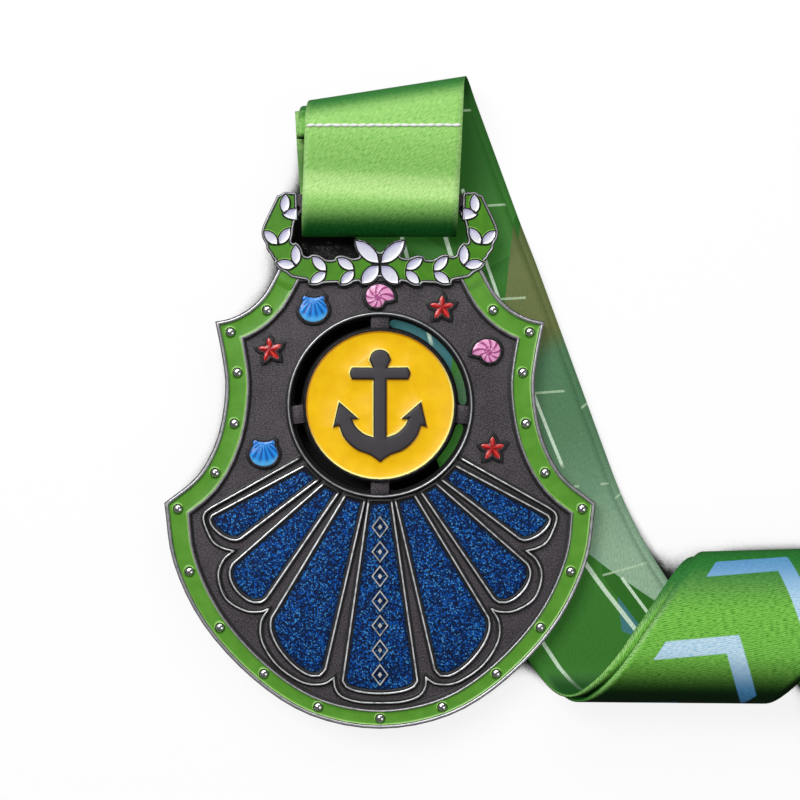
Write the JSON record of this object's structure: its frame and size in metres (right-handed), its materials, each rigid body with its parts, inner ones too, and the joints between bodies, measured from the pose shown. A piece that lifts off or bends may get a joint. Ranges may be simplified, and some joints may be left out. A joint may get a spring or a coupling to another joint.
{
  "type": "sports finisher medal",
  "caption": "Shield-shaped die-cast finisher medal with enamel fills, a wreath hanger and a folded satin neck ribbon; the medal swings in the ribbon's sewn loop.",
  "frame": {"origin": "middle of the centre disc, on the casting's flat back", "axes": "+Z out of the medal's face, +Y towards the hanger, +X to the viewer's right; the ribbon lies on a table 2.8 mm under the origin"},
  "size_m": [0.1917, 0.1505, 0.0159],
  "materials": {
    "metal": "dark nickel plating over zinc alloy, bright on raised edges",
    "green_enamel": "glossy soft enamel",
    "navy_enamel": "soft enamel with blue glitter",
    "yellow_enamel": "glossy soft enamel",
    "blue_enamel": "glossy soft enamel",
    "pink_enamel": "glossy soft enamel",
    "red_enamel": "glossy soft enamel",
    "white_enamel": "glossy soft enamel",
    "satin": "printed satin",
    "thread": "spun sewing thread"
  },
  "bodies": {
    "neck_ribbon": {"ribbon": "satin", "seam_thread": "thread"},
    "medal": {"border_enamel": "green_enamel", "disc_enamel": "yellow_enamel", "flower_enamel_a_left": "white_enamel", "flower_enamel_a_right": "white_enamel", "flower_enamel_b_left": "white_enamel", "flower_enamel_b_right": "white_enamel", "leaf_enamel_1a_left": "white_enamel", "leaf_enamel_1a_right": "white_enamel", "leaf_enamel_1b_left": "white_enamel", "leaf_enamel_1b_right": "white_enamel", "leaf_enamel_2a_left": "white_enamel", "leaf_enamel_2a_right": "white_enamel", "leaf_enamel_2b_left": "white_enamel", "leaf_enamel_2b_right": "white_enamel", "leaf_enamel_3a_left": "white_enamel", "leaf_enamel_3a_right": "white_enamel", "leaf_enamel_3b_left": "white_enamel", "leaf_enamel_3b_right": "white_enamel", "leaf_enamel_4a_left": "white_enamel", "leaf_enamel_4a_right": "white_enamel", "leaf_enamel_4b_left": "white_enamel", "leaf_enamel_4b_right": "white_enamel", "leaf_enamel_5a_left": "white_enamel", "leaf_enamel_5a_right": "white_enamel", "leaf_enamel_5b_left": "white_enamel", "leaf_enamel_5b_right": "white_enamel", "medal_plate": "metal", "petal_enamel_1": "navy_enamel", "petal_enamel_2": "navy_enamel", "petal_enamel_3": "navy_enamel", "petal_enamel_4": "navy_enamel", "petal_enamel_5": "navy_enamel", "petal_enamel_6": "navy_enamel", "petal_enamel_7": "navy_enamel", "scallop_enamel_1": "blue_enamel", "scallop_enamel_2": "blue_enamel", "snail_enamel_1": "pink_enamel", "snail_enamel_2": "pink_enamel", "starfish_enamel_1": "red_enamel", "starfish_enamel_2": "red_enamel", "starfish_enamel_3": "red_enamel", "wreath_enamel_1_left": "green_enamel", "wreath_enamel_1_right": "green_enamel", "wreath_enamel_2_left": "green_enamel", "wreath_enamel_2_right": "green_enamel", "wreath_enamel_3_left": "green_enamel", "wreath_enamel_3_right": "green_enamel", "wreath_enamel_4_left": "green_enamel", "wreath_enamel_4_right": "green_enamel", "wreath_enamel_5_left": "green_enamel", "wreath_enamel_5_right": "green_enamel", "wreath_enamel_6_left": "green_enamel", "wreath_enamel_6_right": "green_enamel"}
  },
  "joints": [
    {"name": "hanger_swing", "type": "hinge", "parent": "neck_ribbon", "child": "medal", "pos_m": [0, 0.0381, 0.0026], "axis": [-1, 0, 0], "range_deg": [0, 100]}
  ]
}
